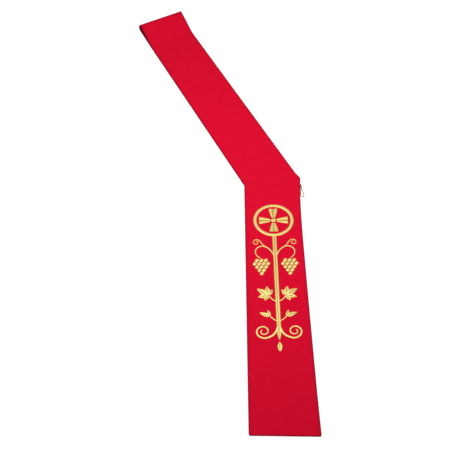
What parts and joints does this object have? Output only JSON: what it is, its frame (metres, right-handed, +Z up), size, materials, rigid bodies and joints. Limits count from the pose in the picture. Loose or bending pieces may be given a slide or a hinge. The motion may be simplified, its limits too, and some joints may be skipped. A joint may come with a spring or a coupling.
{
  "type": "clerical stole",
  "caption": "Deacon's clerical stole in red cloth, folded over the shoulder and laid flat: a straight band mitred at the hip to a flared lower panel, with a small cord loop.",
  "frame": {"origin": "on the surface the stole lies on, under the middle of the cloth's bounding box", "axes": "+Z up from the surface; the hems point along -Y and the fold over the shoulder lies towards +Y and -X; the outer hip corner is on the +X side"},
  "size_m": [0.4534, 1.3391, 0.0296],
  "materials": {
    "face_cloth": "matte red polyester plain weave",
    "gold_cord": "twisted metallised gold cord"
  },
  "bodies": {
    "root": {"band": "face_cloth", "front_panel": "face_cloth", "back_panel": "face_cloth", "hip_loop": "gold_cord"}
  },
  "joints": []
}
